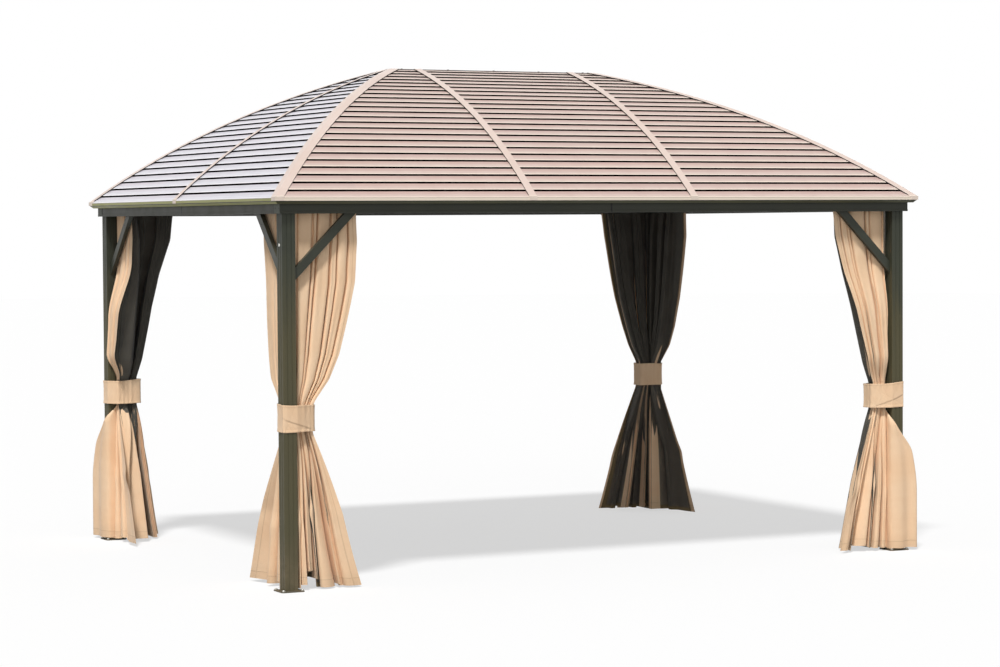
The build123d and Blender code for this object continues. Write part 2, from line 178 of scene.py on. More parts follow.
dust, dust_in, dust_out = group(
    "dust", {"Colour": "colour", "Dust": "colour", "Amount": "value", "Splash height": "value"},
    {"Colour": "colour", "Mask": "value"},
)
place = put(dust, "TexCoord").outputs["Object"]
facing = put(dust, "SeparateXYZ", {0: put(dust, "NewGeometry").outputs["Normal"]}).outputs[2]
height = put(dust, "SeparateXYZ", {0: place}).outputs[2]
settled = spread(dust, facing, 0.2, 0.9)
low_down = work(dust, "SUBTRACT", 1.0, work(dust, "DIVIDE", height, dust_in.outputs["Splash height"]))
splashed = spread(dust, low_down, 0.0, 1.0)
patchy = spread(dust, noise(dust, place, 9.0, 6.0, 0.62), 0.36, 0.72)
cover = work(dust, "MULTIPLY", work(dust, "MAXIMUM", settled, splashed), dust_in.outputs["Amount"])
cover = work(dust, "MULTIPLY", cover, work(dust, "MULTIPLY_ADD", patchy, 0.7, 0.3))
dust.links.new(
    blend(dust, cover, dust_in.outputs["Colour"], dust_in.outputs["Dust"]), dust_out.inputs["Colour"]
)
dust.links.new(cover, dust_out.inputs["Mask"])

coat, coat_in, coat_out = group(
    "powder_coat", {"Colour": "colour", "Light tone": "colour", "Mottle": "value", "Roughness": "value"},
    {"Colour": "colour", "Roughness": "value", "Height": "value"},
)
place = put(coat, "TexCoord").outputs["Object"]
cloudy = spread(coat, noise(coat, place, 3.5, 5.0, 0.6), 0.3, 0.72)
speckle = noise(coat, place, 420.0, 2.0)
mottled = work(
    coat, "MULTIPLY", work(coat, "MULTIPLY_ADD", speckle, 0.35, cloudy), coat_in.outputs["Mottle"]
)
coat.links.new(
    blend(coat, mottled, coat_in.outputs["Colour"], coat_in.outputs["Light tone"]),
    coat_out.inputs["Colour"],
)
patches = noise(coat, place, 14.0, 4.0)
coat.links.new(
    work(coat, "MULTIPLY_ADD", work(coat, "SUBTRACT", patches, 0.5), 0.22, coat_in.outputs["Roughness"]),
    coat_out.inputs["Roughness"],
)
coat.links.new(noise(coat, place, 650.0, 2.0), coat_out.inputs["Height"])


def material(name):
    """A new material: its tree, and its Principled shader."""
    made = bpy.data.materials.new(name)
    made.use_nodes = True
    return made, made.node_tree, made.node_tree.nodes["Principled BSDF"]


def use(tree, shared, values):
    """Place a node group in a material with its own values."""
    return put(tree, "Group", values, node_tree=shared)


def bump(tree, height, strength, distance, shader):
    """Give a shader a bump from a height."""
    raised = put(tree, "Bump", {"Height": height, "Strength": strength, "Distance": distance})
    tree.links.new(raised.outputs[0], shader.inputs["Normal"])


def frame_paint(name, colour, light_tone, dust_colour, dust_amount, splash_height, roughness):
    """The frame's powder coat, with dust."""
    made, tree, shader = material(name)
    painted = use(tree, coat, {
        "Colour": colour, "Light tone": light_tone, "Mottle": 0.55, "Roughness": roughness,
    })
    dusty = use(tree, dust, {
        "Colour": painted.outputs["Colour"], "Dust": dust_colour, "Amount": dust_amount,
        "Splash height": splash_height,
    })
    tree.links.new(dusty.outputs["Colour"], shader.inputs["Base Color"])
    rough = work(tree, "MULTIPLY_ADD", dusty.outputs["Mask"], 0.3, painted.outputs["Roughness"])
    tree.links.new(rough, shader.inputs["Roughness"])
    shader.inputs["Specular IOR Level"].default_value = 0.3
    bump(tree, painted.outputs["Height"], 0.12, 0.0004, shader)
    return made


def paint_with_painted_light(finish, *names):
    """Give CAD nodes a finish."""
    for name in names:
        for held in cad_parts[name].material_slots:
            held.material = finish


def soften(width, *names):
    """Round the sharp edges of CAD nodes a little, so that they catch the light."""
    for name in names:
        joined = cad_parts[name].modifiers.new("joined", "WELD")
        joined.merge_threshold = 0.00002
        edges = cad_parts[name].modifiers.new("edges", "BEVEL")
        edges.width = width
        edges.segments = 2
        edges.angle_limit = math.radians(40)
        edges.harden_normals = True


def turn(mesh, profile, sides, spot, axis):
    """Turn a profile of radii and heights round an axis at a spot, and add it to a mesh."""
    stand = Vector((0, 0, 1)).rotation_difference(Vector(axis))
    rings = []
    for radius, rise in profile:
        angles = [2 * math.pi * (side + 0.5) / sides for side in range(sides)]
        rings.append([
            mesh.verts.new(
                Vector(spot) + stand @ Vector((radius * math.cos(a), radius * math.sin(a), rise))
            ) for a in angles
        ])
    for low, high in zip(rings, rings[1:]):
        for side in range(sides):
            mesh.faces.new((low[side - 1], low[side], high[side], high[side - 1]))
    mesh.faces.new(rings[-1])


def piece(name, mesh, finish):
    """Make a finished piece of a mesh, riding with the frame."""
    bmesh.ops.recalc_face_normals(mesh, faces=mesh.faces)
    data = bpy.data.meshes.new(name)
    mesh.to_mesh(data)
    mesh.free()
    data.materials.append(finish)
    data.shade_smooth()
    data.set_sharp_from_angle(angle=math.radians(35))
    made = bpy.data.objects.new(name, data)
    bpy.context.scene.collection.objects.link(made)
    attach(made, "root")
    return made


post_x, post_y = 1.9025, 1.4025
bolt_offset = 0.052
plate_top = 0.006
earth = srgb(128, 112, 88)
plate_paint = frame_paint(
    "foot_plate_paint", srgb(58, 60, 54), srgb(80, 80, 70), earth, 0.9, 0.05, 0.5
)
paint_with_painted_light(plate_paint, "foot_plates")
soften(0.0008, "foot_plates")

zinc, tree, shader = material("zinc_plate")
place = put(tree, "TexCoord").outputs["Object"]
spangle = spread(tree, noise(tree, place, 260.0, 3.0), 0.3, 0.7)
dusty = use(tree, dust, {
    "Colour": blend(tree, spangle, srgb(150, 150, 146), srgb(196, 196, 190)), "Dust": earth,
    "Amount": 0.7, "Splash height": 0.04,
})
tree.links.new(dusty.outputs["Colour"], shader.inputs["Base Color"])
shader.inputs["Metallic"].default_value = 0.85
shader.inputs["Roughness"].default_value = 0.42
bump(tree, spangle, 0.1, 0.0004, shader)

washer = [(0.0055, 0.0), (0.0105, 0.0), (0.0105, 0.0016), (0.0062, 0.0018)]
bolt_head = [(0.0080, 0.0016), (0.0080, 0.0066), (0.0072, 0.0076), (0.0040, 0.0078)]
bolts = bmesh.new()
for x in (-post_x, post_x):
    for y in (-post_y, post_y):
        for across in (-bolt_offset, bolt_offset):
            for along in (-bolt_offset, bolt_offset):
                spot = (x + across, y + along, plate_top)
                turn(bolts, washer, 28, spot, (0, 0, 1))
                turn(bolts, bolt_head, 6, spot, (0, 0, 1))
piece("anchor_bolts", bolts, zinc)

# Posts: square aluminium extrusions with two grooves down each face, powder coated dark grey
# green. Below the eave's shade they are painted lighter olive brown, a painted sunlight, with a few
# pale scuffs.
corners = ("front_left", "front_right", "back_left", "back_right")
post_face = 0.0375
post_finish, tree, shader = material("post_paint")
painted = use(tree, coat, {
    "Colour": srgb(48, 51, 42), "Light tone": srgb(64, 66, 53), "Mottle": 0.5, "Roughness": 0.5,
})
place = put(tree, "TexCoord").outputs["Object"]
height = put(tree, "SeparateXYZ", {0: place}).outputs[2]
stretched = put(tree, "Mapping", {"Vector": place, "Scale": (30.0, 30.0, 1.6)}).outputs[0]
streaks = noise(tree, stretched, 1.0, 4.0, 0.6)
# Painted sunlight: the posts are painted lighter and browner below about 1.35 m, under the eave's shade
# line.
painted_sunlight_share = work(
    tree, "MULTIPLY", spread(tree, work(tree, "MULTIPLY_ADD", streaks, -0.9, height), 1.35, 0.75),
    work(tree, "MULTIPLY_ADD", streaks, 0.6, 0.45),
)
painted_sunlit_brown = blend(tree, painted_sunlight_share, painted.outputs["Colour"], srgb(88, 82, 58))
scratches = put(tree, "Mapping", {"Vector": place, "Scale": (90.0, 90.0, 34.0)}).outputs[0]
scuffed = work(
    tree, "MULTIPLY", spread(tree, noise(tree, scratches, 1.0, 5.0, 0.7), 0.66, 0.74),
    work(tree, "MULTIPLY", spread(tree, height, 1.1, 1.3), spread(tree, height, 1.62, 1.5)),
)
marked = blend(tree, work(tree, "MULTIPLY", scuffed, 0.6), painted_sunlit_brown, srgb(168, 158, 132))
dusty = use(tree, dust, {"Colour": marked, "Dust": earth, "Amount": 0.55, "Splash height": 0.35})
tree.links.new(dusty.outputs["Colour"], shader.inputs["Base Color"])
tree.links.new(
    work(tree, "MULTIPLY_ADD", painted_sunlight_share, 0.12, painted.outputs["Roughness"]), shader.inputs["Roughness"]
)
shader.inputs["Specular IOR Level"].default_value = 0.3
bump(tree, painted.outputs["Height"], 0.12, 0.0004, shader)
paint_with_painted_light(post_finish, *[f"post_{corner}" for corner in corners])

# Rivet covers: a white nylon cap near the top of each front post's outer side, over the rivet that
# holds the short knee brace.
nylon, tree, shader = material("white_nylon")
place = put(tree, "TexCoord").outputs["Object"]
tree.links.new(
    blend(tree, noise(tree, place, 120.0), srgb(222, 220, 212), srgb(240, 240, 236)),
    shader.inputs["Base Color"],
)
shader.inputs["Roughness"].default_value = 0.4
cover_height = 1.806
rivet_cover = [(0.0085, 0.0), (0.0088, 0.0014), (0.0070, 0.0034), (0.0036, 0.0046), (0.0012, 0.0049)]
covers = bmesh.new()
for x in (-1, 1):
    turn(covers, rivet_cover, 24, (x * (post_x + post_face), -post_y, cover_height), (x, 0, 0))
piece("rivet_covers", covers, nylon)

# Ring beam: powder coated aluminium boxes that butt at the middle of each side, with a small
# lip along the foot and a plug in each end of the long ones. The joints are painted dark, as grime
# and as painted shade in the gap.
halves = ("left_front", "left_back", "right_front", "right_back")
beams = [f"beam_{corner}" for corner in corners] + [f"end_beam_{half}" for half in halves]
beam_finish, tree, shader = material("ring_beam_paint")
painted = use(tree, coat, {
    "Colour": srgb(42, 44, 36), "Light tone": srgb(56, 57, 46), "Mottle": 0.5, "Roughness": 0.5,
})
place = put(tree, "SeparateXYZ", {0: put(tree, "TexCoord").outputs["Object"]})
to_joint = work(
    tree, "MINIMUM", work(tree, "ABSOLUTE", place.outputs[0]), work(tree, "ABSOLUTE", place.outputs[1])
)
# Painted shade and grime: a dark band a few millimetres wide along the joints at x = 0 and y = 0.
joint_grime_and_shade = spread(tree, to_joint, 0.0066, 0.0036)
dusty = use(tree, dust, {
    "Colour": painted.outputs["Colour"], "Dust": srgb(112, 104, 84), "Amount": 0.5, "Splash height": 0.01,
})
tree.links.new(blend(tree, joint_grime_and_shade, dusty.outputs["Colour"], srgb(16, 16, 14)), shader.inputs["Base Color"])
tree.links.new(painted.outputs["Roughness"], shader.inputs["Roughness"])
shader.inputs["Specular IOR Level"].default_value = 0.3
bump(tree, painted.outputs["Height"], 0.12, 0.0004, shader)
paint_with_painted_light(beam_finish, *beams)
soften(0.0012, *beams)

plug_paint = frame_paint(
    "end_cap_paint", srgb(66, 70, 62), srgb(88, 92, 82), srgb(120, 112, 92), 0.4, 0.01, 0.55
)
paint_with_painted_light(plug_paint, "beam_end_caps")
soften(0.0006, "beam_end_caps")

# Beam screws: two countersunk steel screws through each end cap into the beam's end, dark like
# the frame and dusty in their slots.
screw_finish = frame_paint(
    "dark_screws", srgb(38, 38, 35), srgb(70, 70, 66), srgb(112, 104, 84), 0.5, 0.01, 0.35
)
screw_head = [(0.0042, 0.0), (0.0042, 0.0004), (0.0036, 0.0011), (0.0016, 0.0013), (0.0014, 0.0005)]
cap_face, cap_middle, screw_height, screw_offset = 1.96, 1.4225, 1.998, 0.022
cap_screws = bmesh.new()
for x in (-1, 1):
    for y in (-1, 1):
        for across in (-screw_offset, screw_offset):
            spot = (x * cap_face, y * cap_middle + across, screw_height)
            turn(cap_screws, screw_head, 20, spot, (x, 0, 0))
piece("end_cap_screws", cap_screws, screw_finish)

# Knee braces: folded steel pans, open towards the inside, screwed to the posts and beams. Their
# coat is the frame's, a little smoother.
braces = [f"knee_braces_{corner}" for corner in corners]
brace_paint = frame_paint(
    "knee_brace_paint", srgb(46, 49, 41), srgb(62, 64, 53), srgb(118, 112, 92), 0.45, 0.01, 0.4
)
paint_with_painted_light(brace_paint, *braces)
soften(0.0009, *braces)
post_inner_x, post_inner_y = 1.865, 1.365
beam_underside = 1.970
brace_face = 0.0125
at_beam, at_post = (0.055, 0.268), (0.268, 0.055)
brace_screws = bmesh.new()
for x in (-1, 1):
    for y in (-1, 1):
        for reach, drop in (at_beam, at_post):
            height = beam_underside - drop
            spot = (x * (post_inner_x - reach), y * (post_y + brace_face), height)
            turn(brace_screws, screw_head, 20, spot, (0, y, 0))
            spot = (x * (post_x + brace_face), y * (post_inner_y - reach), height)
            turn(brace_screws, screw_head, 20, spot, (x, 0, 0))
piece("brace_screws", brace_screws, screw_finish)

# Curtain rails: dark aluminium extrusions with two tracks, fixed inside the ring beam. The curtains
# hang from the one track and the netting from the other.
rail_finish, tree, shader = material("rail_aluminium")
painted = use(tree, coat, {
    "Colour": srgb(60, 60, 55), "Light tone": srgb(86, 86, 80), "Mottle": 0.4, "Roughness": 0.38,
})
tree.links.new(painted.outputs["Colour"], shader.inputs["Base Color"])
tree.links.new(painted.outputs["Roughness"], shader.inputs["Roughness"])
shader.inputs["Metallic"].default_value = 0.35
bump(tree, painted.outputs["Height"], 0.1, 0.0003, shader)
paint_with_painted_light(rail_finish, "curtain_rails")
soften(0.0005, "curtain_rails")

# Eave trim: a folded steel strip, slanted under the edge of the roof. It is olive, painted darker
# along the front and back as painted shade and brighter along the ends as painted light, and painted
# black along its top, where the roof's lip covers it, as a painted shadow.
lip_shadow_band = (2.0305, 2.0335)
for trim_olive_with_painted_light, light_tone, sides in (
    (srgb(52, 52, 26), srgb(70, 70, 36), ("front", "back")),
    (srgb(120, 122, 52), srgb(148, 146, 72), ("left", "right")),
):
    trim_finish, tree, shader = material(f"eave_trim_{sides[0]}_paint")
    painted = use(tree, coat, {
        "Colour": trim_olive_with_painted_light, "Light tone": light_tone, "Mottle": 0.55, "Roughness": 0.42,
    })
    height = put(tree, "SeparateXYZ", {0: put(tree, "TexCoord").outputs["Object"]}).outputs[2]
    # Painted shadow: the top of the trim, under the roof's lip, is painted near black.
    lip_shadow = spread(tree, height, *lip_shadow_band)
    tree.links.new(
        blend(tree, lip_shadow, painted.outputs["Colour"], srgb(22, 21, 12)), shader.inputs["Base Color"]
    )
    tree.links.new(painted.outputs["Roughness"], shader.inputs["Roughness"])
    shader.inputs["Specular IOR Level"].default_value = 0.3
    bump(tree, painted.outputs["Height"], 0.1, 0.0004, shader)
    paint_with_painted_light(trim_finish, *[f"eave_trim_{side}" for side in sides])

# Roof frame: steel bars under the sheet joints, the hips and the ridge, bent to the roof's curve
# and powder coated dark grey.
bar_paint = frame_paint(
    "roof_frame_paint", srgb(64, 62, 56), srgb(84, 82, 74), srgb(112, 104, 88), 0.4, 0.01, 0.5
)
paint_with_painted_light(bar_paint, "rafters", "hip_rafters", "ridge_beam")
soften(0.001, "rafters", "ridge_beam")

# Roof sheets: painted steel, rolled into lapped rows. The long sides are pinkish brown, the ends a
# pale greyish lilac, which is a painted reflection of the sky. Each row is painted paler along its
# rolled lower edge and palest at its foot, a painted highlight, and black in the step below it and
# on its risers, a painted shade; the fold above the eave's lip is painted grey, a painted shade.
# Rain has left faint streaks down the slope.
seat_rise, half_width, half_length, end_squeeze = 0.770, 1.5, 2.0, 0.91
roof_bend = math.radians(26.0)
row_count, sheet_width = 25, 1.008
lip_top, crease_shade_foot = (2.0506, 2.0496), (2.0494, 2.0504)
crease_shade_top, first_row = (2.0536, 2.0524), (2.0535, 2.0560)
upright_shade_range, from_below = (0.35, 0.12), (-0.1, -0.4)
eave_pitch = math.atan2(seat_rise, half_width) + roof_bend / 2
seat_radius = math.hypot(half_width, seat_rise) / 2 / math.sin(roof_bend / 2)

rows, rows_in, rows_out = group(
    "roof_rows", {"Inward": "value", "Along": "value"},
    {"Lower edge light": "value", "Nose highlight": "value", "Lap shade": "value", "Row tone": "value", "Streaks": "value"},
)
turned = work(rows, "ARCSINE", work(
    rows, "SUBTRACT", math.sin(eave_pitch), work(rows, "DIVIDE", rows_in.outputs["Inward"], seat_radius)
))
row = work(rows, "MULTIPLY", work(rows, "SUBTRACT", eave_pitch, turned), row_count / roof_bend)
up_row = work(rows, "FRACT", row)
# Painted highlight: the lower part of each row, and its foot most, are painted paler. Painted shade: the
# top of each row, under the next row's step, is painted black.
rows.links.new(spread(rows, up_row, 0.46, 0.36), rows_out.inputs["Lower edge light"])
rows.links.new(spread(rows, up_row, 0.14, 0.08), rows_out.inputs["Nose highlight"])
rows.links.new(spread(rows, up_row, 0.860, 0.895), rows_out.inputs["Lap shade"])
from_joint = work(rows, "ADD", rows_in.outputs["Along"], sheet_width / 2)
panel = work(rows, "FLOOR", work(rows, "DIVIDE", from_joint, sheet_width))
number = put(rows, "CombineXYZ", {0: work(rows, "FLOOR", row), 1: panel})
rows.links.new(put(rows, "TexWhiteNoise", {0: number.outputs[0]}).outputs[0], rows_out.inputs["Row tone"])
slope = put(rows, "CombineXYZ", {
    0: work(rows, "MULTIPLY", rows_in.outputs["Along"], 9.0),
    1: work(rows, "MULTIPLY", rows_in.outputs["Inward"], 1.1), 2: panel,
})
rows.links.new(
    spread(rows, noise(rows, slope.outputs[0], 1.0, 5.0, 0.6), 0.35, 0.75), rows_out.inputs["Streaks"]
)


def roof_paint(name, across, along, squeeze, reach, tones):
    """The roof's paint, on faces whose rows step back along one axis and run along the other."""
    made, tree, shader = material(name)
    place = put(tree, "SeparateXYZ", {0: put(tree, "TexCoord").outputs["Object"]})
    from_eave = work(tree, "SUBTRACT", reach, work(tree, "ABSOLUTE", place.outputs[across]))
    lapped = use(tree, rows, {
        "Inward": work(tree, "DIVIDE", from_eave, squeeze), "Along": place.outputs[along],
    })
    painted = use(tree, coat, {
        "Colour": tones["row"], "Light tone": tones["cloud"], "Mottle": 0.6, "Roughness": 0.36,
    })
    painted_row = painted.outputs["Colour"]
    for mask, share, tone in (
        ("Row tone", 0.45, "other_row"), ("Lower edge light", 0.8, "rolled"), ("Streaks", 0.22, "streak"),
        ("Nose highlight", 0.85, "nose_highlight"),
    ):
        share_here = work(tree, "MULTIPLY", lapped.outputs[mask], share)
        painted_row = blend(tree, share_here, painted_row, tones[tone])
    facing = put(tree, "SeparateXYZ", {0: put(tree, "NewGeometry").outputs["Normal"]}).outputs[2]
    height = place.outputs[2]
    # Painted shade: upright faces, the steps' risers, and the band under each step are painted near black.
    on_rows = spread(tree, height, *first_row)
    riser_shade = spread(tree, work(tree, "ABSOLUTE", facing), *upright_shade_range)
    dark = work(tree, "MULTIPLY", work(tree, "MAXIMUM", riser_shade, lapped.outputs["Lap shade"]), on_rows)
    step_shaded = blend(tree, dark, painted_row, srgb(10, 6, 6))
    # Painted shade: a thin grey line at the fold above the eave's lip.
    crease_shade = work(
        tree, "MULTIPLY", spread(tree, height, *crease_shade_foot), spread(tree, height, *crease_shade_top)
    )
    lip = blend(tree, spread(tree, height, *lip_top), step_shaded, tones["lip"])
    creased = blend(tree, work(tree, "MULTIPLY", crease_shade, 0.8), lip, tones["crease_shade"])
    below = blend(tree, spread(tree, facing, *from_below), creased, srgb(104, 92, 86))
    tree.links.new(below, shader.inputs["Base Color"])
    tree.links.new(
        work(tree, "MULTIPLY_ADD", dark, 0.5, painted.outputs["Roughness"]), shader.inputs["Roughness"]
    )
    tree.links.new(work(tree, "MULTIPLY_ADD", dark, -0.34, 0.35), shader.inputs["Specular IOR Level"])
    bump(tree, painted.outputs["Height"], 0.08, 0.0004, shader)
    return made


side_tones = {
    "row": srgb(194, 163, 153), "cloud": srgb(202, 175, 166), "other_row": srgb(186, 164, 160),
    "rolled": srgb(208, 189, 179), "streak": srgb(178, 144, 137), "nose_highlight": srgb(240, 226, 210),
    "lip": srgb(236, 222, 204), "crease_shade": srgb(150, 132, 122),
}
# Painted reflection: the end sheets are the roof's steel, painted pale greyish lilac as the sky's
# reflection.
end_tones_with_sky_reflection = {
    "row": srgb(198, 195, 204), "cloud": srgb(212, 209, 216), "other_row": srgb(206, 192, 199),
    "rolled": srgb(216, 215, 222), "streak": srgb(186, 180, 190), "nose_highlight": srgb(244, 242, 244),
    "lip": srgb(146, 146, 80), "crease_shade": srgb(168, 160, 166),
}
side_paint = roof_paint("roof_side_paint", 1, 0, 1.0, half_width, side_tones)
end_paint_with_sky_reflection = roof_paint("roof_end_paint_with_sky_reflection", 0, 1, end_squeeze, half_length, end_tones_with_sky_reflection)
paint_with_painted_light(side_paint, *[f"roof_sheet_{part}" for part in ("front", "back", *corners)])
paint_with_painted_light(end_paint_with_sky_reflection, *[f"end_sheet_{half}" for half in halves])

# Cover strips and hip caps: folded strips over the sheet joints and the hips, in a paler coat of
# the roof's colour, painted black down their sides as painted shade. They lie on the rows and hook
# over the eave.
hook_top = (2.060, 2.066)
strip_finish, tree, shader = material("cover_strip_paint")
painted = use(tree, coat, {
    "Colour": srgb(212, 190, 178), "Light tone": srgb(222, 204, 194), "Mottle": 0.6, "Roughness": 0.34,
})
facing = put(tree, "SeparateXYZ", {0: put(tree, "NewGeometry").outputs["Normal"]}).outputs[2]
height = put(tree, "SeparateXYZ", {0: put(tree, "TexCoord").outputs["Object"]}).outputs[2]
# Painted shade: the strips' upright sides above the hooks are painted near black.
side = work(
    tree, "MULTIPLY", spread(tree, work(tree, "ABSOLUTE", facing), *upright_shade_range),
    spread(tree, height, *hook_top),
)
hook = spread(tree, height, *hook_top[::-1])
hooked = blend(tree, hook, painted.outputs["Colour"], srgb(226, 210, 196))
side_shaded = blend(tree, side, hooked, srgb(14, 8, 8))
tree.links.new(
    blend(tree, spread(tree, facing, *from_below), side_shaded, srgb(104, 92, 86)), shader.inputs["Base Color"]
)
tree.links.new(painted.outputs["Roughness"], shader.inputs["Roughness"])
bump(tree, painted.outputs["Height"], 0.08, 0.0004, shader)
paint_with_painted_light(strip_finish, "cover_strips", "hip_caps")

# Ridge cap: a low cap of dark brown painted steel over the top ends of the sheets, held down by
# two rows of flat rivets.
ridge_paint = frame_paint(
    "ridge_cap_paint", srgb(46, 37, 36), srgb(66, 55, 52), srgb(150, 134, 118), 0.25, 0.01, 0.4
)
paint_with_painted_light(ridge_paint, "ridge_cap")
ridge_top, rivet_reach, rivet_offset = 2.8183, 0.60, 0.026
flat_rivet = [(0.0060, -0.0020), (0.0060, 0.0001), (0.0048, 0.0003)]
rivets = bmesh.new()
for x in np.linspace(-rivet_reach, rivet_reach, 5):
    for y in (-rivet_offset, rivet_offset):
        turn(rivets, flat_rivet, 20, (x, y, ridge_top), (0, 0, 1))
piece("ridge_rivets", rivets, ridge_paint)

# Curtains: one panel of plain woven polyester at each corner, gathered on its gliders round the
# inside of the post, drawn in by the tie and flared below it. The hem and the free edges are sewn.
weave, weave_in, weave_out = group(
    "weave", {"Vector": "vector", "Threads": "value"}, {"Height": "value", "Slub": "value"}
)
threads = put(weave, "VectorMath", {0: weave_in.outputs["Vector"]}, operation="SCALE")
weave.links.new(weave_in.outputs["Threads"], threads.inputs["Scale"])
lines = put(weave, "SeparateXYZ", {0: threads.outputs[0]})
warp = work(weave, "SINE", work(weave, "MULTIPLY", lines.outputs[0], 2 * math.pi))
weft = work(weave, "SINE", work(weave, "MULTIPLY", lines.outputs[1], 2 * math.pi))
crossing = work(weave, "MULTIPLY_ADD", work(weave, "MULTIPLY", warp, weft), 0.5, 0.5)
weave.links.new(crossing, weave_out.inputs["Height"])
long_threads = put(weave, "Mapping", {"Vector": weave_in.outputs["Vector"], "Scale": (900.0, 14.0, 1.0)})
weave.links.new(noise(weave, long_threads.outputs[0], 1.0, 2.0), weave_out.inputs["Slub"])

hem_depth, side_hem = 0.040, 0.022
cloth_drop = 1.965
panel_width = 3.2
cloth_finish, tree, shader = material("curtain_cloth")
cut = put(tree, "UVMap").outputs[0]
across = put(tree, "SeparateXYZ", {0: cut})
woven = use(tree, weave, {"Vector": cut, "Threads": 900.0})
cloudy = spread(tree, noise(tree, cut, 5.0, 5.0, 0.6), 0.3, 0.72)
base = blend(tree, cloudy, srgb(243, 205, 166), srgb(249, 216, 180))
slubbed = blend(tree, work(tree, "MULTIPLY", woven.outputs["Slub"], 0.25), base, srgb(220, 182, 140))
near_hem = work(tree, "MULTIPLY_ADD", noise(tree, cut, 11.0, 4.0), 0.10, across.outputs[1])
soil = spread(tree, near_hem, 0.16, 0.04)
soiled = blend(tree, work(tree, "MULTIPLY", soil, 0.28), slubbed, srgb(186, 158, 124))
from_hem = work(tree, "ABSOLUTE", work(tree, "SUBTRACT", across.outputs[1], hem_depth))
from_edge = work(tree, "MINIMUM", across.outputs[0], work(tree, "SUBTRACT", panel_width, across.outputs[0]))
from_side = work(tree, "ABSOLUTE", work(tree, "SUBTRACT", from_edge, side_hem))
seam = spread(tree, work(tree, "MINIMUM", from_hem, from_side), 0.0030, 0.0008)
sewn = blend(tree, work(tree, "MULTIPLY", seam, 0.28), soiled, srgb(170, 134, 94))
tree.links.new(sewn, shader.inputs["Base Color"])
shader.inputs["Roughness"].default_value = 0.82
shader.inputs["Sheen Weight"].default_value = 0.15
shader.inputs["Sheen Roughness"].default_value = 0.5
wrinkled = put(tree, "Mapping", {"Vector": cut, "Scale": (60.0, 22.0, 1.0)})
creases = noise(tree, wrinkled.outputs[0], 1.0, 4.0, 0.6)
relief = work(tree, "MULTIPLY_ADD", creases, 1.0, work(tree, "MULTIPLY", woven.outputs["Height"], 0.12))
relief = work(tree, "SUBTRACT", relief, work(tree, "MULTIPLY", seam, 0.5))
bump(tree, relief, 0.5, 0.0030, shader)

# Each curtain has two wings, which run from the post along the side and along the end. Their sizes
# are given at these heights, from the rail to the hem, and a fold's own at the rail and at the hem.
heights = [1.9757, 1.8257, 1.612, 1.420, 1.230, 1.100, 0.980, 0.829, 0.400, 0.008]
reaches = {
    "side": [0.383, 0.383, 0.328, 0.263, 0.199, 0.155, 0.114, 0.114, 0.267, 0.389],
    "end": [0.250, 0.250, 0.134, 0.112, 0.090, 0.075, 0.061, 0.061, 0.298, 0.466],
}
inward_folds = [0.036, 0.060, 0.060, 0.057, 0.054, 0.052, 0.050, 0.050, 0.098, 0.126]
outward_folds = [0.019, 0.019, 0.019, 0.024, 0.028, 0.031, 0.034, 0.034, 0.059, 0.068]
fold_widths = {
    "side": ((0.8, 0.7, 0.5, 1.6, 0.4, 1.5, 0.5), (1.8, 0.4, 2.6, 0.4, 1.0, 0.7, 0.6)),
    "end": ((1.0, 0.5, 1.1, 0.6), (1.9, 0.4, 1.2, 0.5)),
}
fold_depths = {
    "side": ((0.85, 1.0, 1.0, 0.9, 1.0, 0.95), (0.30, 0.95, 0.40, 1.0, 0.75, 0.85)),
    "end": ((0.9, 1.0, 0.95), (0.35, 1.0, 0.85)),
}
near_post, net_room = 0.004, 0.004
tie_foot, tie_middle, hem_height = 0.829, 0.905, 0.0095
puff_top, puff_fade, puff_foot, puff_full = 1.70, 0.34, 0.985, 1.14
cloth_rows = 101
lobe_root = 0.014
# The corners of a lobe: beside the post, share of the way beyond it, across, more across in the
# skirt, and depth in the fold.
lobe_line = (
    (0.020, 0.0, -0.070, 0.0, 0.4), (0.012, 0.0, -0.088, -0.006, 0.5),
    (0.0, 0.30, -0.098, -0.020, 0.5), (0.0, 0.62, -0.091, -0.004, 0.6),
    (0.0, 1.0, -0.098, -0.026, 0.7), (0.0, 1.02, -0.087, -0.020, 0.7),
    (0.0, 0.6, -0.083, 0.0, 0.7), (0.004, 0.0, -0.082, 0.0, 0.8),
    (0.011, 0.0, -0.068, 0.0, 0.9), (0.010, 0.0, -0.020, 0.0, 0.9),
)


def at_height(values, height):
    """Read a size between the heights at which it is given."""
    return np.interp(height, heights[::-1], values[::-1])


def smooth_step(value, low, high):
    """0 below low, 1 above high, and smooth between."""
    share = np.clip((value - low) / (high - low), 0, 1)
    return share * share * (3 - 2 * share)


def across_wing(along, depth, height, puffed):
    """Where a point stands across a wing, from the curtain's outer face, depth 0, to its inner one.
    A wing may be puffed out below the knee brace."""
    behind_post = 0.9 * near_post
    puff = puffed * smooth_step(puff_top - height, 0.0, puff_fade)
    puff = puff * smooth_step(height, puff_foot, puff_full)
    outer = at_height(outward_folds, height) + puff - 0.001 + behind_post
    outer = behind_post - outer * smooth_step(along, near_post, 0.020)
    inner = np.minimum(at_height(inward_folds, height) - net_room, 0.9 * along + 0.0005)
    return outer + depth * (inner - outer)


